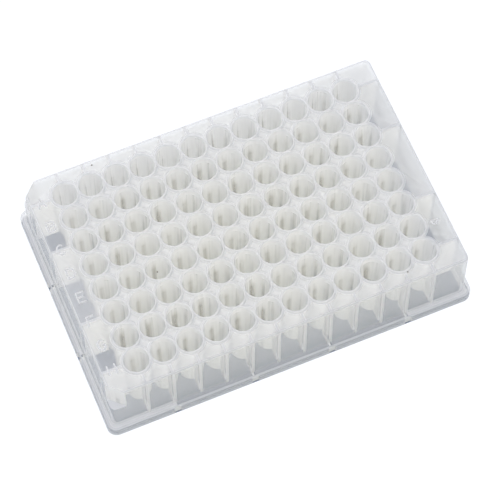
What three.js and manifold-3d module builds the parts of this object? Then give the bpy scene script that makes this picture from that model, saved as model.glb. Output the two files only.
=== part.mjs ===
// A moulded well plate: 8 rows by 12 columns of round wells in one translucent plastic moulding.
// Millimetres, Z up, the middle of the footprint on the table at the origin.
// Columns 1 to 12 run along +X, row A lies at +Y and row H at -Y.
import * as THREE from 'three';
import { ConvexGeometry } from 'three/addons/geometries/ConvexGeometry.js';
import { mergeVertices } from 'three/addons/utils/BufferGeometryUtils.js';
import Module from 'manifold-3d';

// --- overall sizes
const footprintLength = 127.76;
const footprintWidth = 85.48;
const footprintCornerRadius = 3.2;
const plateHeight = 27;

// --- the grid of wells
const columnCount = 12;
const rowCount = 8;
const wellPitch = 9;

// --- one bore, from its mouth down to the flat at the bottom of its bowl
const mouthRadius = 4.1;
const footRadius = 3.5;
const wellDepth = 24.5;
const bowlHeight = 2.9;
const bowlFlatRadius = 1.7;
const mouthSides = 12;
const footSides = 8;
const bowlFlatSides = 4;

// --- the tube round each bore
const tubeWall = 0.6;
const tubeBottomWall = 1.1;

// --- the raised rim round each mouth
const rimWidth = 0.65;
const rimRise = 0.45;
const rimSides = 8;

// --- the deck, the thicker web of it between the wells, and the skirt below it
const deckLength = 123.3;
const deckWidth = 80.4;
const deckThickness = 1.1;
const webThickness = 2.4;
const deckEdgeBevel = 0.5;
const deckCornerRadius = 1.8;
const skirtCornerRadius = 2.4;
const skirtLean = 0.35;
const skirtWall = 1.15;

// --- the flange at the foot
const flangeHeight = 3.6;
const ledgeThickness = 1.2;
const lipWall = 1.1;
const lipBevel = 0.4;

// --- the cut corners at A1 and H1
const cornerCut = 4.7;
const cornerShelfHeight = 15.5;

// --- the ribs between the outer tubes and the skirt, and the few that run on to the lip
const ribThickness = 1;
const ribFootHeight = 3.4;
const lipRibFootHeight = 0.6;
const shortSideRibRows = [0, 2, 5, 7];
const shortSideLipRows = [2, 5];
const longSideLipColumns = [1, 4, 7, 10];

// --- the notches in the lip where those ribs end
const lipNotchWidth = 2.4;
const lipNotchDepth = 0.6;

// --- how finely corners are rounded, and how far joined solids run into each other
const cornerSteps = 5;
const overlap = 0.3;
const mergeTolerance = 0.0005;

const deckTop = plateHeight - rimRise;
const deckUnderside = deckTop - deckThickness;
const ledgeUnderside = flangeHeight - ledgeThickness;
const wellFloorHeight = plateHeight - wellDepth;
const bowlTopHeight = wellFloorHeight + bowlHeight;

const wasm = await Module();
wasm.setup();

// A closed geometry as a solid that can be joined and cut.
function solidOf(geometry) {
  const positionsOnly = geometry.clone();
  positionsOnly.deleteAttribute('normal');
  positionsOnly.deleteAttribute('uv');
  const welded = mergeVertices(positionsOnly, 1e-5);
  return new wasm.Manifold(new wasm.Mesh({
    numProp: 3,
    vertProperties: new Float32Array(welded.attributes.position.array),
    triVerts: new Uint32Array(welded.index.array),
  }));
}

// Straight-sided form through convex outlines, each at its own height.
function loft(levels) {
  const corners = levels.flatMap(({ height, outline }) => (
    outline.map(([x, y]) => new THREE.Vector3(x, y, height))
  ));
  return new ConvexGeometry(corners);
}

// Rectangle with rounded corners, centred on the origin.
function roundedRectangle(length, width, radius) {
  const outline = [];
  for (let corner = 0; corner < 4; corner += 1) {
    const signX = corner === 0 || corner === 3 ? 1 : -1;
    const signY = corner < 2 ? 1 : -1;
    for (let step = 0; step <= cornerSteps; step += 1) {
      const angle = (corner + step / cornerSteps) * Math.PI / 2;
      outline.push([
        signX * (length / 2 - radius) + radius * Math.cos(angle),
        signY * (width / 2 - radius) + radius * Math.sin(angle),
      ]);
    }
  }
  return outline;
}

// Regular polygon with flats towards +X and +Y, their distance from the middle being the radius.
function polygon(radius, sides) {
  const reach = radius / Math.cos(Math.PI / sides);
  const outline = [];
  for (let side = 0; side < sides; side += 1) {
    const angle = (side + 0.5) * 2 * Math.PI / sides;
    outline.push([reach * Math.cos(angle), reach * Math.sin(angle)]);
  }
  return outline;
}

function columnX(column) {
  return (column - (columnCount - 1) / 2) * wellPitch;
}

function rowY(row) {
  return ((rowCount - 1) / 2 - row) * wellPitch;
}

// The same form at every place of the grid, joined into one solid.
function atEveryWell(geometry) {
  const solids = [];
  for (let row = 0; row < rowCount; row += 1) {
    for (let column = 0; column < columnCount; column += 1) {
      solids.push(solidOf(geometry.clone().translate(columnX(column), rowY(row), 0)));
    }
  }
  return solids.reduce((joined, solid) => joined.add(solid));
}

// --- skirt with its deck, and the flange round its foot, both still solid inside
const skirtOutside = loft([
  {
    height: 0,
    outline: roundedRectangle(deckLength + 2 * skirtLean, deckWidth + 2 * skirtLean, skirtCornerRadius),
  },
  { height: deckTop - deckEdgeBevel, outline: roundedRectangle(deckLength, deckWidth, deckCornerRadius) },
  {
    height: deckTop,
    outline: roundedRectangle(deckLength - 2 * deckEdgeBevel, deckWidth - 2 * deckEdgeBevel, deckCornerRadius),
  },
]);
const footprint = roundedRectangle(footprintLength, footprintWidth, footprintCornerRadius);
const flangeOutside = loft([
  { height: 0, outline: footprint },
  { height: flangeHeight - lipBevel, outline: footprint },
  {
    height: flangeHeight,
    outline: roundedRectangle(footprintLength - 2 * lipBevel, footprintWidth - 2 * lipBevel, footprintCornerRadius),
  },
]);

// --- the hollow under the deck, and the wider one inside the lip
const skirtInside = loft([
  {
    height: -overlap,
    outline: roundedRectangle(
      deckLength + 2 * (skirtLean - skirtWall),
      deckWidth + 2 * (skirtLean - skirtWall),
      skirtCornerRadius / 2,
    ),
  },
  {
    height: deckUnderside,
    outline: roundedRectangle(deckLength - 2 * skirtWall, deckWidth - 2 * skirtWall, deckCornerRadius / 2),
  },
]);
const insideLip = roundedRectangle(
  footprintLength - 2 * lipWall,
  footprintWidth - 2 * lipWall,
  footprintCornerRadius / 2,
);
const lipInside = loft([
  { height: -overlap, outline: insideLip },
  { height: ledgeUnderside, outline: insideLip },
]);

// --- what is cut from the corners at A1 and H1: a prism with one 45 degree face, standing on the shelf.
// The hollow stops a wall's thickness short of that face and of the shelf.
function cornerPrism(sideY, standOff) {
  const cornerX = -deckLength / 2;
  const cornerY = sideY * deckWidth / 2;
  const reach = cornerCut + standOff * Math.SQRT2;
  const past = cornerCut;
  const outline = [
    [cornerX - past, cornerY + sideY * past],
    [cornerX + reach + past, cornerY + sideY * past],
    [cornerX - past, cornerY - sideY * (reach + past)],
  ];
  return loft([
    { height: cornerShelfHeight - standOff, outline },
    { height: plateHeight + past, outline },
  ]);
}

let skirt = solidOf(skirtOutside);
let hollow = solidOf(skirtInside);
for (const sideY of [1, -1]) {
  skirt = skirt.subtract(solidOf(cornerPrism(sideY, 0)));
  hollow = hollow.subtract(solidOf(cornerPrism(sideY, skirtWall)));
}
let plate = skirt.add(solidOf(flangeOutside)).subtract(hollow).subtract(solidOf(lipInside));

// --- the tubes, hanging from the deck with rounded-off ends
const tube = loft([
  { height: deckTop - overlap, outline: polygon(mouthRadius + tubeWall, footSides) },
  { height: bowlTopHeight - tubeBottomWall / 2, outline: polygon(footRadius + tubeWall, footSides) },
  { height: wellFloorHeight - tubeBottomWall, outline: polygon(bowlFlatRadius + tubeWall, bowlFlatSides) },
]);
plate = plate.add(atEveryWell(tube));

// --- the thicker web that closes the gaps between four wells
const web = new THREE.BoxGeometry(2 * columnX(columnCount - 1), 2 * rowY(0), webThickness - overlap);
web.translate(0, 0, deckTop - webThickness + (webThickness - overlap) / 2);
plate = plate.add(solidOf(web));

// --- ribs and lip notches, laid out on the side that faces +X and then turned to each of the four sides
const shortSide = {
  halfFootprint: footprintLength / 2,
  halfDeck: deckLength / 2,
  outerWell: columnX(columnCount - 1),
  ribPlaces: shortSideRibRows.map(rowY),
  lipPlaces: shortSideLipRows.map(rowY),
};
const longSide = {
  halfFootprint: footprintWidth / 2,
  halfDeck: deckWidth / 2,
  outerWell: rowY(0),
  ribPlaces: Array.from({ length: columnCount }, (unused, column) => columnX(column)),
  lipPlaces: longSideLipColumns.map(columnX),
};

function boxBetween(fromX, toX, middleY, width, fromZ, toZ) {
  const geometry = new THREE.BoxGeometry(toX - fromX, width, toZ - fromZ);
  return geometry.translate((fromX + toX) / 2, middleY, (fromZ + toZ) / 2);
}

function ribsOf(side) {
  const start = side.outerWell + footRadius + tubeWall / 2;
  const skirtEnd = side.halfDeck - skirtWall / 2;
  const lipEnd = side.halfFootprint - lipWall + overlap;
  const ribs = side.ribPlaces.map((place) => {
    const foot = side.lipPlaces.includes(place) ? lipRibFootHeight : ribFootHeight;
    return boxBetween(start, skirtEnd, place, ribThickness, foot, deckTop - overlap);
  });
  const lipRibs = side.lipPlaces.map((place) => (
    boxBetween(start, lipEnd, place, ribThickness, lipRibFootHeight, ledgeUnderside + overlap)
  ));
  return [...ribs, ...lipRibs];
}

function lipNotchesOf(side) {
  const inner = side.halfFootprint - lipNotchDepth;
  const outer = side.halfFootprint + overlap;
  return side.lipPlaces.map((place) => (
    boxBetween(inner, outer, place, lipNotchWidth, -overlap, flangeHeight + overlap)
  ));
}

const quarterTurn = Math.PI / 2;
const sides = [
  [shortSide, 0],
  [longSide, quarterTurn],
  [shortSide, 2 * quarterTurn],
  [longSide, 3 * quarterTurn],
];
for (const [side, turn] of sides) {
  for (const rib of ribsOf(side)) {
    plate = plate.add(solidOf(rib.rotateZ(turn)));
  }
  for (const notch of lipNotchesOf(side)) {
    plate = plate.subtract(solidOf(notch.rotateZ(turn)));
  }
}

// --- the raised rims, then the bores through rims, deck and tubes
const rimOutline = polygon(mouthRadius + rimWidth, rimSides);
const rim = loft([
  { height: deckTop - overlap, outline: rimOutline },
  { height: plateHeight, outline: rimOutline },
]);
const mouthOutline = polygon(mouthRadius, mouthSides);
const bore = loft([
  { height: plateHeight + overlap, outline: mouthOutline },
  { height: plateHeight, outline: mouthOutline },
  { height: bowlTopHeight, outline: polygon(footRadius, footSides) },
  { height: wellFloorHeight, outline: polygon(bowlFlatRadius, bowlFlatSides) },
]);
plate = plate.add(atEveryWell(rim)).subtract(atEveryWell(bore));

// Flat faces that came from different solids run together into one.
plate = plate.asOriginal().simplify(mergeTolerance);

// --- the finished moulding as a mesh
function meshOf(solid, name, material) {
  const { vertProperties, triVerts } = solid.getMesh();
  const geometry = new THREE.BufferGeometry();
  geometry.setAttribute('position', new THREE.BufferAttribute(new Float32Array(vertProperties), 3));
  geometry.setIndex(new THREE.BufferAttribute(new Uint32Array(triVerts), 1));
  const faceted = geometry.toNonIndexed();
  faceted.computeVertexNormals();
  const mesh = new THREE.Mesh(faceted, material);
  mesh.name = name;
  return mesh;
}

const naturalPolypropylene = new THREE.MeshStandardMaterial({ color: '#dfe0e2', roughness: 0.38, metalness: 0 });
const moulding = new THREE.Group();
moulding.add(meshOf(plate, 'well_plate', naturalPolypropylene));

export default moulding;
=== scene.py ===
"""A well plate: one moulding of natural polypropylene with 8 rows by 12 columns of deep round wells.

Metres, Z up, the middle of the footprint on the floor at the origin. Columns run along +X, row A lies at +Y.
"""

import math

import bmesh
import bpy
from mathutils import Matrix, Vector
from mathutils.bvhtree import BVHTree


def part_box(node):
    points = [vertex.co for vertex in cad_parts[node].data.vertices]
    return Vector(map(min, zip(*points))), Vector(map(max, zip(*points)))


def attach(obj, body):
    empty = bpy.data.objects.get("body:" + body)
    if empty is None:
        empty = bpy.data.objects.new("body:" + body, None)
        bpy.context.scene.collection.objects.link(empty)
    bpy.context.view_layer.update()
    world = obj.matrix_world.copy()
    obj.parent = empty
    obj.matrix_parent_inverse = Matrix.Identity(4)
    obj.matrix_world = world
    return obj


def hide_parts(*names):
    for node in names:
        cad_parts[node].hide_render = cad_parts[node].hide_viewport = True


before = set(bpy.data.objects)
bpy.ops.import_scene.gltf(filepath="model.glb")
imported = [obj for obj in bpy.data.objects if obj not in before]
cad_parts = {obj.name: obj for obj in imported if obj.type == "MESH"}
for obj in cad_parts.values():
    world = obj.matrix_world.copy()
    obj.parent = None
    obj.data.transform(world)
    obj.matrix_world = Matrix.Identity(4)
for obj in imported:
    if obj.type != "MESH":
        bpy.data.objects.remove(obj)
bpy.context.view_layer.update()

MM = 0.001

# --- overall sizes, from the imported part
plate_low, plate_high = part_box("well_plate")
FOOTPRINT_LENGTH = plate_high[0] - plate_low[0]
FOOTPRINT_WIDTH = plate_high[1] - plate_low[1]
PLATE_HEIGHT = plate_high[2] - plate_low[2]
FOOTPRINT_CORNER_RADIUS = 3.2 * MM

# --- the grid of wells
COLUMNS = 12
ROWS = 8
PITCH = 9 * MM

# --- one bore: a drafted wall that ends in a round bowl
MOUTH_RADIUS = 4.1 * MM
FOOT_RADIUS = 3.5 * MM
WELL_DEPTH = 24.5 * MM
BOWL_HEIGHT = 2.9 * MM
BORE_SIDES = 36
BOWL_STEPS = 5

# --- the tube round each bore
TUBE_WALL = 0.6 * MM
TUBE_BOTTOM_WALL = 1.1 * MM
TUBE_SIDES = 28

# --- the raised rim round each mouth, which slopes down to the deck
RIM_RISE = 0.45 * MM
RIM_TOP_WIDTH = 0.5 * MM
RIM_FOOT_WIDTH = 1.1 * MM
RIM_BEND = 0.3  # where its slope bends, as a share of its rise
RIM_EDGE_RADIUS = 0.12 * MM

# --- the deck and the skirt below it
DECK_LENGTH = 123.3 * MM
DECK_WIDTH = 80.4 * MM
DECK_THICKNESS = 1.1 * MM
WEB_THICKNESS = 2.4 * MM
DECK_EDGE_RADIUS = 0.6 * MM
DECK_CORNER_RADIUS = 1.8 * MM
SKIRT_CORNER_RADIUS = 2.4 * MM
SKIRT_LEAN = 0.35 * MM
SKIRT_WALL = 1.15 * MM

# --- the flange at the foot: a ledge with a lip that stands on the floor
FLANGE_HEIGHT = 3.6 * MM
LEDGE_THICKNESS = 1.2 * MM
LIP_WALL = 1.1 * MM
LIP_EDGE_RADIUS = 0.45 * MM
LIP_FOOT_RADIUS = 0.2 * MM

# --- the cut corners at A1 and H1
CORNER_CUT = 4.7 * MM
CORNER_SHELF_HEIGHT = 15.5 * MM

# --- the ribs between the outer tubes and the skirt, and the few that run on to a notch in the lip
RIB_THICKNESS = 1 * MM
RIB_FOOT_HEIGHT = 3.4 * MM
LIP_RIB_FOOT_HEIGHT = 0.6 * MM
SHORT_SIDE_RIB_ROWS = (0, 2, 5, 7)
SHORT_SIDE_LIP_ROWS = (2, 5)
LONG_SIDE_LIP_COLUMNS = (1, 4, 7, 10)
LIP_NOTCH_WIDTH = 2.4 * MM
LIP_NOTCH_DEPTH = 0.6 * MM

# --- the row letters, the mark beside the last column, and the specks
LETTER_HEIGHT = 3.5 * MM
LETTER_WIDTH = 2.5 * MM
STROKE_RADIUS = 0.32 * MM
STROKE_SINK = 0.13 * MM  # how far below the deck a stroke's middle lies
STROKE_STEPS = 2
LETTER_MIDDLE_X = -57.7 * MM
MARK_RADIUS = 1.3 * MM
MARK_PLACE = (57 * MM, -22.9 * MM)
SPECKS = (  # x, y, height of the foot, radius
    (41.5 * MM, -36.5 * MM, 26.5 * MM, 0.26 * MM),
    (-37.6 * MM, 38.2 * MM, 26.5 * MM, 0.26 * MM),
    (-30.65 * MM, -0.9 * MM, 15.8 * MM, 0.24 * MM),
)
SPECK_RISE = 0.3 * MM
SPECK_SIDES = 7
SPECK_TOP_SHARE = 0.7  # radius at the top, as a share of the radius at the foot

# --- how finely edges are rounded, and how far joined forms run into each other
CORNER_STEPS = 6
EDGE_STEPS = 4
OVERLAP = 0.3 * MM
IMPRINT = 0.01 * MM  # how far the ribs stand out of deck and skirt, so that no two faces coincide
ROUNDING_INSET = 0.3  # how far the middle of a rounded edge lies inside its corner, as a share of its radius
SMOOTH_UP_TO = math.radians(32)

# --- heights that follow from the sizes
DECK_TOP = PLATE_HEIGHT - RIM_RISE
DECK_UNDERSIDE = DECK_TOP - DECK_THICKNESS
LEDGE_UNDERSIDE = FLANGE_HEIGHT - LEDGE_THICKNESS
WELL_FLOOR = PLATE_HEIGHT - WELL_DEPTH
BOWL_TOP = WELL_FLOOR + BOWL_HEIGHT
OUTER_COLUMN_X = (COLUMNS - 1) / 2 * PITCH
OUTER_ROW_Y = (ROWS - 1) / 2 * PITCH

# --- the depth of plastic at each face, which its haze is worked out from; these values are chosen
DEPTH_BEHIND = "depth_behind"
DEPTH_THAT_COUNTS = 7 * MM
RIM_DEPTH = 4 * MM
EDGE_DEPTH = 5 * MM
LETTER_DEPTH = 20 * MM
SLANT_PATH = 14  # lifts the tubes' thin walls past DEPTH_THAT_COUNTS, by which the material knows them
OUTER_PATH = 0.85
INSIDE_LENGTH = DECK_LENGTH - 4 * MM
INSIDE_WIDTH = DECK_WIDTH - 4 * MM
LEVEL_ABOVE = 0.99  # upward share of a normal from which a face is level
UPRIGHT_BELOW = 0.5  # and below which it is upright
RAY_START = IMPRINT / 10

# --- the plastic's haze: how fast it grows with depth, and how much stays clear where it is least and most
HAZE_PER_METRE = 350
CLEAR_SHARE = 1
DEEP_CLEAR_SHARE = 0.08
LIT_THROUGH_SHARE = 0.95  # clear share for light that isn't on its way to the camera
BODY_SHARE = 0.34  # the milky part that scatters light back; the rest lets it through
BODY_COLOUR = "#f5f6ff"
GLOW_COLOUR = "#fffdf7"
CLEAR_COLOUR = "#fefefd"

# --- fine upright lines in the wells, about 2 mm wide, and how much less or more haze they have
DRAW_LINE_SCALE = (450, 450, 6)
DRAW_LINE_DETAIL = 2
DRAW_LINE_HAZE = (0.35, 1.8)
NOISE_RANGE = (0.35, 0.65)  # the span in which most of the noise lies

# --- broad streaks of painted shade in the wells: share of a turn from -X by way of -Y, and unshaded share, where 1
# --- is plain wall and less is a clearer, greyer streak of painted shade. They are set for a view from the
# front left.
PAINTED_SHADE_STREAKS = ((0.43, 1), (0.53, 1), (0.58, 0.65), (0.62, 0.5), (0.67, 0.95), (0.70, 0.9), (0.72, 0.6),
                (0.745, 0.25), (0.77, 0.2), (0.80, 0.5), (0.85, 1), (0.93, 1))
PAINTED_STREAK_SHADE_COLOUR = "#d8d5d0"
PAINTED_STREAK_TOP = DECK_TOP - 1 * MM
PAINTED_STREAK_FADE = 7 * MM

# --- the plastic's gloss, seen straight on and how much more at a glancing angle
GLOSS_ROUGHNESS = 0.2
HEAD_ON_GLOSS = 0.04
SLANT_GLOSS = 0.6
SLANT_POWER = 5

DUST_COLOUR = "#5a534c"

# --- the floor: its dark tone inside the plate's outline is painted shade, lifted to white outside it
PAPER_AND_PAINTED_SHADE_COLOUR = "#68707f"
PAPER_LIFT = 0.84
FLOOR_SIZE = 6
SHADE_LENGTH = FOOTPRINT_LENGTH - 0.3 * MM
SHADE_WIDTH = FOOTPRINT_WIDTH - 0.3 * MM
SHADE_RADIUS = FOOTPRINT_CORNER_RADIUS

# --- light and camera
WORLD_COLOUR = "#f9fbff"
WORLD_STRENGTH = 0.99
KEY_PLACE = (-0.35, 0.45, 1.2)
KEY_SIZE = 2
KEY_POWER = 20.5
KEY_COLOUR = "#fff9f0"
SURFACES_SEEN_THROUGH = 48
BOUNCES = 24
SENSOR_WIDTH = 36  # this and the lens are in millimetres
LENS = 170.28
# it looks steeply down from the front left
CAMERA_PLACE = Vector((-0.12829, -0.31072, 0.70958))
CAMERA_FORWARD = Vector((0.166953, 0.397377, -0.902340))
CAMERA_RIGHT = Vector((0.922438, -0.386145, 0.000620))


def column_x(column):
    return column * PITCH - OUTER_COLUMN_X


def row_y(row):
    return OUTER_ROW_Y - row * PITCH


# ---------------------------------------------------------------- closed forms

def new_object(name, data):
    """A new object at the origin, in the scene."""
    made = bpy.data.objects.new(name, data)
    bpy.context.scene.collection.objects.link(made)
    return made


def object_from(name, form):
    """A new object that holds a finished bmesh, its faces turned outwards."""
    bmesh.ops.recalc_face_normals(form, faces=form.faces)
    mesh = bpy.data.meshes.new(name)
    form.to_mesh(mesh)
    form.free()
    return new_object(name, mesh)


def bridge(form, lower, upper):
    """Faces between two rings of points, either of which may be a single point on the axis."""
    count = max(len(lower), len(upper))
    for index in range(count):
        following = (index + 1) % count
        corners = [lower[index % len(lower)], lower[following % len(lower)]]
        corners += [upper[following % len(upper)], upper[index % len(upper)]]
        form.faces.new(list(dict.fromkeys(corners)))


def turned(name, profile, sides):
    """Round closed form. The profile is (radius, height), from the axis at the bottom to the axis on top."""
    form = bmesh.new()
    rings = []
    for radius, height in profile:
        count = sides if radius else 1
        turns = [2 * math.pi * index / sides for index in range(count)]
        rings.append([form.verts.new((radius * math.cos(t), radius * math.sin(t), height)) for t in turns])
    for lower, upper in zip(rings, rings[1:]):
        bridge(form, lower, upper)
    return object_from(name, form)


def lofted(name, sections):
    """Closed form through level outlines of equal count, each given as (height, outline)."""
    form = bmesh.new()
    rings = [[form.verts.new((x, y, height)) for x, y in outline] for height, outline in sections]
    for lower, upper in zip(rings, rings[1:]):
        bridge(form, lower, upper)
    form.faces.new(rings[0])
    form.faces.new(rings[-1])
    return object_from(name, form)


def extruded(name, outline, thickness):
    """Closed plate whose outline of (x, z) points lies upright, its middle plane at y = 0."""
    form = bmesh.new()
    sides = [[form.verts.new((x, y, z)) for x, z in outline] for y in (-thickness / 2, thickness / 2)]
    bridge(form, *sides)
    form.faces.new(sides[0])
    form.faces.new(sides[1])
    return object_from(name, form)


def rounded_rectangle(length, width, radius):
    """Points round a rectangle about the origin whose corners are arcs."""
    outline = []
    for corner in range(4):
        sign_x = 1 if corner in (0, 3) else -1
        sign_y = 1 if corner < 2 else -1
        for step in range(CORNER_STEPS + 1):
            angle = (corner + step / CORNER_STEPS) * math.pi / 2
            x = sign_x * (length / 2 - radius) + radius * math.cos(angle)
            y = sign_y * (width / 2 - radius) + radius * math.sin(angle)
            outline.append((x, y))
    return outline


def quarter_arc(radius, start, steps=EDGE_STEPS):
    """(cosine, sine) offsets of a quarter turn of that radius, from the start angle on."""
    turns = [start + step / steps * math.pi / 2 for step in range(steps + 1)]
    return [(radius * math.cos(turn), radius * math.sin(turn)) for turn in turns]


# ---------------------------------------------------------------- skirt, deck and flange

def skirt_outside():
    foot_length = DECK_LENGTH + 2 * SKIRT_LEAN
    foot_width = DECK_WIDTH + 2 * SKIRT_LEAN
    sections = [(0, rounded_rectangle(foot_length, foot_width, SKIRT_CORNER_RADIUS))]
    for out, up in quarter_arc(DECK_EDGE_RADIUS, 0):
        inset = DECK_EDGE_RADIUS - out
        length = DECK_LENGTH - 2 * inset
        width = DECK_WIDTH - 2 * inset
        outline = rounded_rectangle(length, width, DECK_CORNER_RADIUS - inset / 2)
        sections.append((DECK_TOP - DECK_EDGE_RADIUS + up, outline))
    sections.append((DECK_TOP, rounded_rectangle(
        DECK_LENGTH - 2 * SKIRT_WALL, DECK_WIDTH - 2 * SKIRT_WALL, DECK_CORNER_RADIUS - SKIRT_WALL / 2)))
    return lofted("skirt", sections)


def flange_outside():
    def outline(inset):
        return rounded_rectangle(
            FOOTPRINT_LENGTH - 2 * inset, FOOTPRINT_WIDTH - 2 * inset, FOOTPRINT_CORNER_RADIUS - inset)

    sections = []
    for out, up in quarter_arc(LIP_FOOT_RADIUS, -math.pi / 2, 2):
        sections.append((LIP_FOOT_RADIUS + up, outline(LIP_FOOT_RADIUS - out)))
    for out, up in quarter_arc(LIP_EDGE_RADIUS, 0):
        sections.append((FLANGE_HEIGHT - LIP_EDGE_RADIUS + up, outline(LIP_EDGE_RADIUS - out)))
    sections.append((FLANGE_HEIGHT, outline(LIP_WALL)))
    return lofted("flange", sections)


def skirt_hollow():
    foot_length = DECK_LENGTH + 2 * (SKIRT_LEAN - SKIRT_WALL)
    foot_width = DECK_WIDTH + 2 * (SKIRT_LEAN - SKIRT_WALL)
    top_length = DECK_LENGTH - 2 * SKIRT_WALL
    top_width = DECK_WIDTH - 2 * SKIRT_WALL
    return lofted("skirt hollow", [
        (-OVERLAP, rounded_rectangle(foot_length, foot_width, SKIRT_CORNER_RADIUS / 2)),
        (DECK_UNDERSIDE, rounded_rectangle(top_length, top_width, DECK_CORNER_RADIUS / 2)),
    ])


def lip_hollow():
    length = FOOTPRINT_LENGTH - 2 * LIP_WALL
    width = FOOTPRINT_WIDTH - 2 * LIP_WALL
    outline = rounded_rectangle(length, width, FOOTPRINT_CORNER_RADIUS / 2)
    return lofted("lip hollow", [(-OVERLAP, outline), (LEDGE_UNDERSIDE, outline)])


def corner_prism(side, stand_off):
    """What is cut from a corner beside column 1: one face at 45 degrees, standing on the shelf."""
    corner_x = -DECK_LENGTH / 2
    corner_y = side * DECK_WIDTH / 2
    past = CORNER_CUT
    reach = CORNER_CUT + stand_off * math.sqrt(2)
    outline = [
        (corner_x - past, corner_y + side * past),
        (corner_x + reach + past, corner_y + side * past),
        (corner_x - past, corner_y - side * (reach + past)),
    ]
    return lofted("corner", [(CORNER_SHELF_HEIGHT - stand_off, outline), (PLATE_HEIGHT + past, outline)])


def web():
    """The thicker plate that closes the gaps between four wells."""
    outline = [(-OUTER_COLUMN_X, DECK_TOP - WEB_THICKNESS), (OUTER_COLUMN_X, DECK_TOP - WEB_THICKNESS)]
    outline += [(x, DECK_TOP - OVERLAP) for x, z in reversed(outline)]
    return extruded("web", outline, 2 * OUTER_ROW_Y)


# ---------------------------------------------------------------- one well

def tube():
    outer = FOOT_RADIUS + TUBE_WALL
    bottom = WELL_FLOOR - TUBE_BOTTOM_WALL
    bend = BOWL_HEIGHT + TUBE_BOTTOM_WALL / 2
    profile = [(0, bottom)]
    for step in range(1, BOWL_STEPS + 1):
        turn = step / BOWL_STEPS * math.pi / 2
        profile.append((outer * math.sin(turn), bottom + bend * (1 - math.cos(turn))))
    profile += [(MOUTH_RADIUS + TUBE_WALL, DECK_TOP - OVERLAP), (0, DECK_TOP - OVERLAP)]
    return turned("tube", profile, TUBE_SIDES)


def bore_radius(height):
    """Radius of the drafted wall at that height."""
    rise = (height - BOWL_TOP) / (PLATE_HEIGHT - BOWL_TOP)
    return FOOT_RADIUS + (MOUTH_RADIUS - FOOT_RADIUS) * rise


def bore():
    profile = [(0, WELL_FLOOR)]
    for step in range(1, BOWL_STEPS + 1):
        turn = step / BOWL_STEPS * math.pi / 2
        profile.append((FOOT_RADIUS * math.sin(turn), WELL_FLOOR + BOWL_HEIGHT * (1 - math.cos(turn))))
    for height in (DECK_TOP - WEB_THICKNESS, DECK_UNDERSIDE):
        profile.append((bore_radius(height), height))
    edge_height = PLATE_HEIGHT - RIM_EDGE_RADIUS
    for out, up in quarter_arc(RIM_EDGE_RADIUS, math.pi, 2):
        profile.append((MOUTH_RADIUS + RIM_EDGE_RADIUS + out, edge_height - up))
    profile += [(MOUTH_RADIUS + RIM_EDGE_RADIUS, PLATE_HEIGHT + OVERLAP), (0, PLATE_HEIGHT + OVERLAP)]
    return turned("bore", profile, BORE_SIDES)


def rim():
    foot = MOUTH_RADIUS + RIM_FOOT_WIDTH
    top = MOUTH_RADIUS + RIM_TOP_WIDTH
    profile = [
        (0, DECK_TOP - OVERLAP),
        (foot, DECK_TOP - OVERLAP),
        (foot, DECK_TOP),
        ((foot + top) / 2, DECK_TOP + RIM_RISE * RIM_BEND),
        (top + RIM_EDGE_RADIUS, PLATE_HEIGHT - RIM_EDGE_RADIUS),
        (top, PLATE_HEIGHT),
        (0, PLATE_HEIGHT),
    ]
    return turned("rim", profile, BORE_SIDES)


# ---------------------------------------------------------------- node trees

def add(tree, kind, inputs=None, **settings):
    """A node of that kind with these settings. Each input is given a value, or the output that feeds it."""
    node = tree.nodes.new(kind)
    for name, value in settings.items():
        setattr(node, name, value)
    for name, value in (inputs or {}).items():
        if isinstance(value, bpy.types.NodeSocket):
            tree.links.new(value, node.inputs[name])
        else:
            node.inputs[name].default_value = value
    return node


def geometry_tree(name, inputs):
    """An empty node group with named inputs, each given as name: (socket type, default)."""
    tree = bpy.data.node_groups.new(name, "GeometryNodeTree")
    tree.interface.new_socket("Geometry", in_out="INPUT", socket_type="NodeSocketGeometry")
    tree.interface.new_socket("Geometry", in_out="OUTPUT", socket_type="NodeSocketGeometry")
    for label, (socket_type, default) in inputs.items():
        socket = tree.interface.new_socket(label, in_out="INPUT", socket_type=socket_type)
        if default is not None:
            socket.default_value = default
    return tree, add(tree, "NodeGroupInput"), add(tree, "NodeGroupOutput")


def note_depths(made):
    """Keeps on each face the depth of plastic, in metres, that its haze is worked out from.

    It starts from how much plastic lies behind the face. Rims, the deck's rounded edge and its margin have
    set depths instead, so that each looks even. Upright walls inside the skirt, which are seen slantwise down
    the wells, count many times over, and the outer walls a little less than once.
    """
    mesh = made.data
    surface = BVHTree.FromPolygons([v.co for v in mesh.vertices], [p.vertices for p in mesh.polygons])
    depths = mesh.attributes.new(DEPTH_BEHIND, "FLOAT", "FACE")
    for face in mesh.polygons:
        start = face.center - face.normal * RAY_START
        distance = surface.ray_cast(start, -face.normal)[3]
        depth = min(distance or 0, DEPTH_THAT_COUNTS)
        inside = abs(face.center.x) < INSIDE_LENGTH / 2 and abs(face.center.y) < INSIDE_WIDTH / 2
        path = 1
        if inside and abs(face.normal.z) < UPRIGHT_BELOW:
            path = SLANT_PATH
        elif face.center.z < DECK_UNDERSIDE:
            path = OUTER_PATH
        if face.center.z > DECK_TOP + IMPRINT and face.normal.z > 0:
            depth = RIM_DEPTH
        if not inside and face.center.z > DECK_TOP - DECK_EDGE_RADIUS:
            depth = SKIRT_WALL if face.normal.z > LEVEL_ABOVE else EDGE_DEPTH
        depths.data[face.index].value = depth * path


def settle(made, tree, values):
    """Runs a node tree on an object with these named inputs and keeps the result as its plain mesh."""
    modifier = made.modifiers.new(tree.name, "NODES")
    modifier.node_group = tree
    identifiers = {item.name: item.identifier for item in tree.interface.items_tree if item.in_out == "INPUT"}
    for name, value in values.items():
        modifier[identifiers[name]] = value
    evaluated = made.evaluated_get(bpy.context.evaluated_depsgraph_get())
    mesh = bpy.data.meshes.new_from_object(evaluated)
    made.modifiers.clear()
    made.data = mesh
    return made


def drop(*tools):
    for tool in tools:
        bpy.data.objects.remove(tool)


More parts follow.
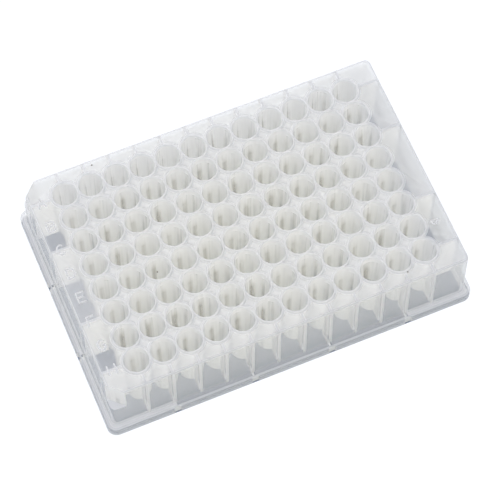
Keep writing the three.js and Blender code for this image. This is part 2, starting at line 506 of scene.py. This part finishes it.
def boolean_tree(operation):
    """Joins the tools to the body, or cuts them from it."""
    inputs = {"Tools": ("NodeSocketCollection", None)}
    tree, given, result = geometry_tree(operation.lower() + " tools", inputs)
    tools = add(tree, "GeometryNodeCollectionInfo", {
        "Collection": given.outputs["Tools"],
        "Separate Children": True,
    }, transform_space="RELATIVE")
    boolean = add(tree, "GeometryNodeMeshBoolean", operation=operation, solver="MANIFOLD")
    body = boolean.inputs["Mesh 1" if operation == "DIFFERENCE" else "Mesh 2"]
    tree.links.new(given.outputs["Geometry"], body)
    tree.links.new(tools.outputs[0], boolean.inputs["Mesh 2"])
    realized = add(tree, "GeometryNodeRealizeInstances", {"Geometry": boolean.outputs["Mesh"]})
    tree.links.new(realized.outputs[0], result.inputs[0])
    return tree


JOIN = boolean_tree("UNION")
CUT = boolean_tree("DIFFERENCE")


def combine(body, tree, tools):
    """Joins or cuts several closed forms at once, and removes them."""
    kit = bpy.data.collections.new("tools")
    bpy.context.scene.collection.children.link(kit)
    for tool in tools:
        kit.objects.link(tool)
    settle(body, tree, {"Tools": kit})
    drop(*tools)
    bpy.data.collections.remove(kit)
    return body


def well_grid_tree():
    """Puts a rim and a tube at every place of the grid, joins them to the plate, then cuts the bores."""
    tree, given, result = geometry_tree("well grid", {
        "Columns": ("NodeSocketInt", COLUMNS),
        "Rows": ("NodeSocketInt", ROWS),
        "Pitch": ("NodeSocketFloat", PITCH),
        "Tube": ("NodeSocketObject", None),
        "Rim": ("NodeSocketObject", None),
        "Bore": ("NodeSocketObject", None),
        "Material": ("NodeSocketMaterial", None),
    })

    def span(count):
        gaps = add(tree, "ShaderNodeMath", {0: given.outputs[count], 1: 1}, operation="SUBTRACT")
        size = add(tree, "ShaderNodeMath", {
            0: gaps.outputs[0],
            1: given.outputs["Pitch"],
        }, operation="MULTIPLY")
        return size.outputs[0]

    grid = add(tree, "GeometryNodeMeshGrid", {
        "Vertices X": given.outputs["Columns"],
        "Vertices Y": given.outputs["Rows"],
        "Size X": span("Columns"),
        "Size Y": span("Rows"),
    })

    def at_every_well(label):
        form = add(tree, "GeometryNodeObjectInfo", {"Object": given.outputs[label]})
        placed_forms = add(tree, "GeometryNodeInstanceOnPoints", {
            "Points": grid.outputs["Mesh"],
            "Instance": form.outputs["Geometry"],
        })
        return placed_forms.outputs["Instances"]

    joined = add(tree, "GeometryNodeMeshBoolean", operation="UNION", solver="MANIFOLD")
    for part in (given.outputs["Geometry"], at_every_well("Tube"), at_every_well("Rim")):
        tree.links.new(part, joined.inputs["Mesh 2"])
    bored = add(tree, "GeometryNodeMeshBoolean", {
        "Mesh 1": joined.outputs["Mesh"],
        "Mesh 2": at_every_well("Bore"),
    }, operation="DIFFERENCE", solver="MANIFOLD")
    realized = add(tree, "GeometryNodeRealizeInstances", {"Geometry": bored.outputs["Mesh"]})
    finished = add(tree, "GeometryNodeSetMaterial", {
        "Geometry": realized.outputs[0],
        "Material": given.outputs["Material"],
    })
    tree.links.new(finished.outputs[0], result.inputs[0])
    return tree


# ---------------------------------------------------------------- ribs and lip notches

def upright_box(name, from_x, to_x, from_z, to_z, thickness):
    return extruded(name, [(from_x, from_z), (to_x, from_z), (to_x, to_z), (from_x, to_z)], thickness)


def side_sizes():
    """For each of the four sides: its turn, half lengths, outer wells, rib places and lip rib places."""
    quarter = math.pi / 2
    row_places = [row_y(row) for row in range(ROWS)]
    column_places = [column_x(column) for column in range(COLUMNS)]
    short_ribs = [row_places[row] for row in SHORT_SIDE_RIB_ROWS]
    short_lips = [row_places[row] for row in SHORT_SIDE_LIP_ROWS]
    long_lips = [column_places[column] for column in LONG_SIDE_LIP_COLUMNS]
    short = (FOOTPRINT_LENGTH / 2, DECK_LENGTH / 2, OUTER_COLUMN_X, short_ribs, short_lips)
    long = (FOOTPRINT_WIDTH / 2, DECK_WIDTH / 2, OUTER_ROW_Y, column_places, long_lips)
    return [(turn * quarter, *(short if turn % 2 == 0 else long)) for turn in range(4)]


def placed(form, along, turn):
    """Moves a form along its side, then turns it to that side, in its mesh."""
    form.data.transform(Matrix.Rotation(turn, 4, "Z") @ Matrix.Translation((0, along, 0)))
    return form


def ribs_and_notches():
    """The ribs, which end in the skirt and the deck, and the tools that notch the lip."""
    ribs = []
    notches = []
    rounding = DECK_EDGE_RADIUS * ROUNDING_INSET
    for turn, half_footprint, half_deck, outer_well, rib_places, lip_places in side_sizes():
        start = outer_well + FOOT_RADIUS + TUBE_WALL / 2
        lip_end = half_footprint - LIP_WALL + OVERLAP
        for place in rib_places:
            foot = LIP_RIB_FOOT_HEIGHT if place in lip_places else RIB_FOOT_HEIGHT
            lean = SKIRT_LEAN * (1 - foot / (DECK_TOP - DECK_EDGE_RADIUS))
            outline = [
                (start, foot),
                (half_deck + lean + IMPRINT, foot),
                (half_deck + IMPRINT, DECK_TOP - DECK_EDGE_RADIUS),
                (half_deck - rounding, DECK_TOP - rounding),
                (half_deck - DECK_EDGE_RADIUS, DECK_TOP + IMPRINT),
                (start, DECK_TOP + IMPRINT),
            ]
            ribs.append(placed(extruded("rib", outline, RIB_THICKNESS), place, turn))
        for place in lip_places:
            lip_rib = upright_box(
                "lip rib", start, lip_end, LIP_RIB_FOOT_HEIGHT, LEDGE_UNDERSIDE + OVERLAP, RIB_THICKNESS)
            ribs.append(placed(lip_rib, place, turn))
            notch = upright_box(
                "notch", half_footprint - LIP_NOTCH_DEPTH, half_footprint + OVERLAP,
                -OVERLAP, FLANGE_HEIGHT + OVERLAP, LIP_NOTCH_WIDTH)
            notches.append(placed(notch, place, turn))
    return ribs, notches


# ---------------------------------------------------------------- row letters, mark and specks

def curve_points(middle, radii, from_degrees, to_degrees, steps=10):
    """Points along part of an oval."""
    sweep = to_degrees - from_degrees
    turns = [math.radians(from_degrees + sweep * step / steps) for step in range(steps + 1)]
    return [(middle[0] + radii[0] * math.cos(turn), middle[1] + radii[1] * math.sin(turn)) for turn in turns]


# the strokes of each letter, in shares of its box
LETTER_STROKES = {
    "A": [[(0, 0), (0.5, 1), (1, 0)], [(0.19, 0.38), (0.81, 0.38)]],
    "B": [[(0, 0.52), (0, 1), *curve_points((0.6, 0.76), (0.35, 0.24), 90, -90), (0, 0.52), (0, 0),
           *curve_points((0.6, 0.26), (0.4, 0.26), -90, 90)]],
    "C": [curve_points((0.5, 0.5), (0.5, 0.5), 45, 315, 16)],
    "D": [[(0, 0), (0, 1), *curve_points((0.4, 0.5), (0.6, 0.5), 90, -90, 12), (0, 0)]],
    "E": [[(1, 1), (0, 1), (0, 0), (1, 0)], [(0, 0.5), (0.8, 0.5)]],
    "F": [[(1, 1), (0, 1), (0, 0)], [(0, 0.5), (0.8, 0.5)]],
    "G": [[*curve_points((0.5, 0.5), (0.5, 0.5), 45, 350, 16), (1, 0.45), (0.6, 0.45)]],
    "H": [[(0, 0), (0, 1)], [(1, 0), (1, 1)], [(0, 0.5), (1, 0.5)]],
}


def raised_strokes(name, strokes):
    """Low round ridges along strokes of (x, y) points, more than half sunk into the deck."""
    curve = bpy.data.curves.new(name, "CURVE")
    curve.dimensions = "3D"
    curve.bevel_depth = STROKE_RADIUS
    curve.bevel_resolution = STROKE_STEPS
    curve.use_fill_caps = True
    for stroke in strokes:
        spline = curve.splines.new("POLY")
        spline.points.add(len(stroke) - 1)
        for point, (x, y) in zip(spline.points, stroke):
            point.co = (x, y, DECK_TOP - STROKE_SINK, 1)
    drawn = new_object(name, curve)
    mesh = bpy.data.meshes.new_from_object(drawn.evaluated_get(bpy.context.evaluated_depsgraph_get()))
    drop(drawn)
    mesh.shade_smooth()
    return new_object(name, mesh)


def row_letters():
    strokes = []
    for row, letter in enumerate(sorted(LETTER_STROKES)):
        left = LETTER_MIDDLE_X - LETTER_WIDTH / 2
        foot = row_y(row) - LETTER_HEIGHT / 2
        for stroke in LETTER_STROKES[letter]:
            strokes.append([(left + x * LETTER_WIDTH, foot + y * LETTER_HEIGHT) for x, y in stroke])
    return raised_strokes("row_letters", strokes)


def half_round_mark():
    half = curve_points(MARK_PLACE, (MARK_RADIUS, MARK_RADIUS), 180, 360, 14)
    return raised_strokes("half_round_mark", [half + half[:1]])


def specks():
    """A few fine dark specks: two lie on the deck and one clings to the wall of a well."""
    outline = [math.tau * step / SPECK_SIDES for step in range(SPECK_SIDES)]
    form = bmesh.new()
    for x, y, foot, radius in SPECKS:
        rings = []
        for share, height in ((1, 0), (SPECK_TOP_SHARE, SPECK_RISE)):
            reach = radius * share
            ring = [(x + reach * math.cos(turn), y + reach * math.sin(turn)) for turn in outline]
            rings.append([form.verts.new((*point, foot + height)) for point in ring])
        bridge(form, *rings)
        form.faces.new(rings[0][::-1])
        form.faces.new(rings[1])
    return object_from("specks", form)


# ---------------------------------------------------------------- materials

def linear(hex_colour):
    """A '#rrggbb' colour as the linear values that nodes take."""
    channels = [int(hex_colour[index:index + 2], 16) / 255 for index in (1, 3, 5)]
    return tuple(c / 12.92 if c <= 0.04045 else ((c + 0.055) / 1.055) ** 2.4 for c in channels) + (1,)


def new_material(name):
    material = bpy.data.materials.new(name)
    material.use_nodes = True
    material.node_tree.nodes.clear()
    return material, material.node_tree


def draw_lines(tree, place, inner_wall):
    """Fine upright lines on the inner walls, as a factor on their haze. Other faces have 1."""
    stretched = add(tree, "ShaderNodeVectorMath", {0: place, 1: DRAW_LINE_SCALE}, operation="MULTIPLY")
    lines = add(tree, "ShaderNodeTexNoise", {
        "Vector": stretched.outputs[0],
        "Scale": 1,
        "Detail": DRAW_LINE_DETAIL,
    })
    line_haze = add(tree, "ShaderNodeMapRange", {
        "Value": lines.outputs["Fac"],
        "From Min": NOISE_RANGE[0],
        "From Max": NOISE_RANGE[1],
        "To Min": DRAW_LINE_HAZE[0],
        "To Max": DRAW_LINE_HAZE[1],
    })
    lined = add(tree, "ShaderNodeMix", {"A": 1, "Factor": inner_wall, "B": line_haze.outputs[0]})
    return lined.outputs[0]


def painted_streak_shade(tree, place, inner_wall):
    """How free of painted shade the inner walls are, from 1 for plain wall down to 0, which draws broad
    streaks of painted shade down them. The streaks stand for shade from bent light but aren't worked out from
    it: they stand at the same chosen angles in every well, whatever the view, and fade out towards the deck.
    Other faces have 1."""
    cell = add(tree, "ShaderNodeVectorMath", {0: place, 1: (PITCH, PITCH, 1)}, operation="WRAP")
    from_middle = add(tree, "ShaderNodeVectorMath", {
        0: cell.outputs[0],
        1: (PITCH / 2, PITCH / 2, 0),
    }, operation="SUBTRACT")
    around = add(tree, "ShaderNodeTexGradient", {"Vector": from_middle.outputs[0]}, gradient_type="RADIAL")
    streaks = add(tree, "ShaderNodeFloatCurve", {"Value": around.outputs["Fac"]})
    curve = streaks.mapping.curves[0]
    curve.points[0].location = (0, PAINTED_SHADE_STREAKS[0][1])
    curve.points[1].location = (1, PAINTED_SHADE_STREAKS[-1][1])
    for share_of_turn, unshaded_share in PAINTED_SHADE_STREAKS:
        curve.points.new(share_of_turn, unshaded_share)
    streaks.mapping.update()
    height = add(tree, "ShaderNodeSeparateXYZ", {"Vector": place})
    fade = add(tree, "ShaderNodeMapRange", {
        "Value": height.outputs["Z"],
        "From Min": PAINTED_STREAK_TOP,
        "From Max": PAINTED_STREAK_TOP - PAINTED_STREAK_FADE,
    })
    where = add(tree, "ShaderNodeMath", {0: inner_wall, 1: fade.outputs[0]}, operation="MULTIPLY")
    unshaded_share = add(tree, "ShaderNodeMix", {"A": 1, "Factor": where.outputs[0], "B": streaks.outputs[0]})
    return unshaded_share.outputs[0]


def clear_share(tree, depth, haze):
    """How much is seen straight through the plastic: it falls as haze and depth grow."""
    hazed = add(tree, "ShaderNodeMath", {0: depth, 1: haze}, operation="MULTIPLY")
    passed = add(tree, "ShaderNodeMath", {0: hazed.outputs[0], 1: -HAZE_PER_METRE}, operation="MULTIPLY")
    clearness = add(tree, "ShaderNodeMath", {0: passed.outputs[0]}, operation="EXPONENT")
    share = add(tree, "ShaderNodeMapRange", {
        "Value": clearness.outputs[0],
        "To Min": DEEP_CLEAR_SHARE,
        "To Max": CLEAR_SHARE,
    })
    return share.outputs[0]


def gloss_share(tree, camera_ray):
    """How much the surface mirrors, most at a glancing angle. Only the camera sees it."""
    facing = add(tree, "ShaderNodeLayerWeight")
    slant = add(tree, "ShaderNodeMath", {0: facing.outputs["Facing"], 1: SLANT_POWER}, operation="POWER")
    mirrored = add(tree, "ShaderNodeMath", {
        0: slant.outputs[0],
        1: SLANT_GLOSS,
        2: HEAD_ON_GLOSS,
    }, operation="MULTIPLY_ADD")
    shown = add(tree, "ShaderNodeMath", {0: mirrored.outputs[0], 1: camera_ray}, operation="MULTIPLY")
    return shown.outputs[0]


def natural_polypropylene():
    """Unfilled polypropylene, injection moulded against polished steel: milky, so that what lies behind a
    wall shows as through a haze, with a soft waxy gloss. The deeper the plastic, the whiter it is.

    The camera sees that haze and gloss. Light on its way from lamps and other surfaces finds the plastic
    almost clear instead, which keeps the deep wells bright.
    """
    material, tree = new_material("natural_polypropylene")
    depth = add(tree, "ShaderNodeAttribute", attribute_name=DEPTH_BEHIND).outputs["Fac"]
    place = add(tree, "ShaderNodeTexCoord").outputs["Object"]
    camera_ray = add(tree, "ShaderNodeLightPath").outputs["Is Camera Ray"]
    inner_wall = add(tree, "ShaderNodeMath", {
        0: depth,
        1: DEPTH_THAT_COUNTS + IMPRINT,
    }, operation="GREATER_THAN").outputs[0]

    # painted shade: broad, clearer and greyer streaks down the inner walls, which only the camera sees
    unshaded_share = painted_streak_shade(tree, place, inner_wall)
    lines = draw_lines(tree, place, inner_wall)
    haze = add(tree, "ShaderNodeMath", {0: lines, 1: unshaded_share}, operation="MULTIPLY")
    share = add(tree, "ShaderNodeMix", {
        "A": LIT_THROUGH_SHARE,
        "Factor": camera_ray,
        "B": clear_share(tree, depth, haze.outputs[0]),
    })

    body = add(tree, "ShaderNodeBsdfDiffuse", {"Color": linear(BODY_COLOUR)})
    glow = add(tree, "ShaderNodeBsdfTranslucent", {"Color": linear(GLOW_COLOUR)})
    milk = add(tree, "ShaderNodeMixShader", {"Fac": BODY_SHARE, 1: glow.outputs[0], 2: body.outputs[0]})
    even = add(tree, "ShaderNodeBsdfTransparent", {"Color": linear(CLEAR_COLOUR)})
    # painted shade: the greyer see-through tint of the streaks
    streak = add(tree, "ShaderNodeBsdfTransparent", {"Color": linear(PAINTED_STREAK_SHADE_COLOUR)})
    seen_unshaded_share = add(tree, "ShaderNodeMix", {"A": 1, "Factor": camera_ray, "B": unshaded_share})
    clear = add(tree, "ShaderNodeMixShader", {
        "Fac": seen_unshaded_share.outputs[0],
        1: streak.outputs[0],
        2: even.outputs[0],
    })
    whole = add(tree, "ShaderNodeMixShader", {
        "Fac": share.outputs[0],
        1: milk.outputs[0],
        2: clear.outputs[0],
    })
    gloss = add(tree, "ShaderNodeBsdfGlossy", {"Roughness": GLOSS_ROUGHNESS})
    coated = add(tree, "ShaderNodeMixShader", {
        "Fac": gloss_share(tree, camera_ray),
        1: whole.outputs[0],
        2: gloss.outputs[0],
    })
    add(tree, "ShaderNodeOutputMaterial", {"Surface": coated.outputs[0]})
    return material


def settled_dust():
    """Dry grey-brown dust: matt and dark against the plastic."""
    material, tree = new_material("settled_dust")
    dust = add(tree, "ShaderNodeBsdfDiffuse", {"Color": linear(DUST_COLOUR)})
    add(tree, "ShaderNodeOutputMaterial", {"Surface": dust.outputs[0]})
    return material


def paper_with_painted_shade():
    """Matt background paper in a dark blue-grey tone, lifted to white round the plate where the camera or a
    gloss sees it.
    Inside the plate's outline it gets no lift, so its dark tone is painted shade there: it stands for the dim
    floor below."""
    material, tree = new_material("background_paper_with_painted_shade")
    paper = add(tree, "ShaderNodeBsdfDiffuse", {"Color": linear(PAPER_AND_PAINTED_SHADE_COLOUR)})
    path = add(tree, "ShaderNodeLightPath")
    seen = add(tree, "ShaderNodeMath", {
        0: path.outputs["Is Camera Ray"],
        1: path.outputs["Is Glossy Ray"],
    }, operation="MAXIMUM")
    place = add(tree, "ShaderNodeTexCoord")
    across = add(tree, "ShaderNodeVectorMath", {0: place.outputs["Object"]}, operation="ABSOLUTE")
    beyond = add(tree, "ShaderNodeVectorMath", {
        0: across.outputs[0],
        1: (SHADE_LENGTH / 2 - SHADE_RADIUS, SHADE_WIDTH / 2 - SHADE_RADIUS, 0),
    }, operation="SUBTRACT")
    outward = add(tree, "ShaderNodeVectorMath", {0: beyond.outputs[0]}, operation="MAXIMUM")
    distance = add(tree, "ShaderNodeVectorMath", {0: outward.outputs[0]}, operation="LENGTH")
    # painted shade: inside the plate's outline the paper gets no lift and keeps its dark tone
    outside = add(tree, "ShaderNodeMath", {
        0: distance.outputs["Value"],
        1: SHADE_RADIUS,
    }, operation="GREATER_THAN")
    lifted = add(tree, "ShaderNodeMath", {0: seen.outputs[0], 1: outside.outputs[0]}, operation="MULTIPLY")
    lift = add(tree, "ShaderNodeMath", {0: lifted.outputs[0], 1: PAPER_LIFT}, operation="MULTIPLY")
    glow = add(tree, "ShaderNodeEmission", {"Color": linear("#ffffff"), "Strength": lift.outputs[0]})
    both = add(tree, "ShaderNodeAddShader", {0: paper.outputs[0], 1: glow.outputs[0]})
    add(tree, "ShaderNodeOutputMaterial", {"Surface": both.outputs[0]})
    return material


# ---------------------------------------------------------------- the moulding

plastic = natural_polypropylene()

moulding = skirt_outside()
moulding.name = "moulded_plate"
hollow = skirt_hollow()
combine(moulding, CUT, [corner_prism(side, 0) for side in (1, -1)])
combine(hollow, CUT, [corner_prism(side, SKIRT_WALL) for side in (1, -1)])
combine(moulding, JOIN, [flange_outside()])
combine(moulding, CUT, [hollow, lip_hollow()])
ribs, notches = ribs_and_notches()
combine(moulding, JOIN, [web(), *ribs])
combine(moulding, CUT, notches)
well_parts = {"Tube": tube(), "Rim": rim(), "Bore": bore()}
settle(moulding, well_grid_tree(), {**well_parts, "Material": plastic})
drop(*well_parts.values())
note_depths(moulding)
moulding.data.shade_smooth()
moulding.data.set_sharp_from_angle(angle=SMOOTH_UP_TO)

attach(moulding, "root")
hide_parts("well_plate")

for relief in (row_letters(), half_round_mark()):
    relief.data.materials.append(plastic)
    solid_through = relief.data.attributes.new(DEPTH_BEHIND, "FLOAT", "FACE")
    solid_through.data.foreach_set("value", [LETTER_DEPTH] * len(relief.data.polygons))
    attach(relief, "root")

dust = specks()
dust.data.materials.append(settled_dust())
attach(dust, "root")

# ---------------------------------------------------------------- floor, light and camera

bpy.ops.mesh.primitive_plane_add(size=FLOOR_SIZE)
floor = bpy.context.object
floor.name = "background_paper"
floor.data.materials.append(paper_with_painted_shade())

world = bpy.data.worlds.new("soft studio")
bpy.context.scene.world = world
world.use_nodes = True
surroundings = world.node_tree.nodes["Background"]
surroundings.inputs["Color"].default_value = linear(WORLD_COLOUR)
surroundings.inputs["Strength"].default_value = WORLD_STRENGTH

key_light = bpy.data.lights.new("key_light", "AREA")
key_light.shape = "RECTANGLE"
key_light.size = KEY_SIZE
key_light.size_y = KEY_SIZE
key_light.energy = KEY_POWER
key_light.color = linear(KEY_COLOUR)[:3]
soft_box = new_object("key_light", key_light)
soft_box.location = KEY_PLACE
soft_box.rotation_euler = (-Vector(KEY_PLACE)).to_track_quat("-Z", "Y").to_euler()

# a line of sight across the plate passes dozens of thin walls, so rays may go on for longer than usual
bpy.context.scene.cycles.transparent_max_bounces = SURFACES_SEEN_THROUGH
bpy.context.scene.cycles.max_bounces = BOUNCES
bpy.context.scene.cycles.diffuse_bounces = BOUNCES
bpy.context.scene.cycles.transmission_bounces = BOUNCES

camera_data = bpy.data.cameras.new("camera")
camera_data.sensor_width = SENSOR_WIDTH
camera_data.lens = LENS
camera = new_object("camera", camera_data)
forward = CAMERA_FORWARD.normalized()
right = (CAMERA_RIGHT - CAMERA_RIGHT.dot(CAMERA_FORWARD) * CAMERA_FORWARD).normalized()
up = right.cross(forward)
camera.matrix_world = Matrix.Translation(CAMERA_PLACE) @ Matrix((right, up, -forward)).transposed().to_4x4()
bpy.context.scene.camera = camera
bpy.context.scene.view_settings.view_transform = "Standard"
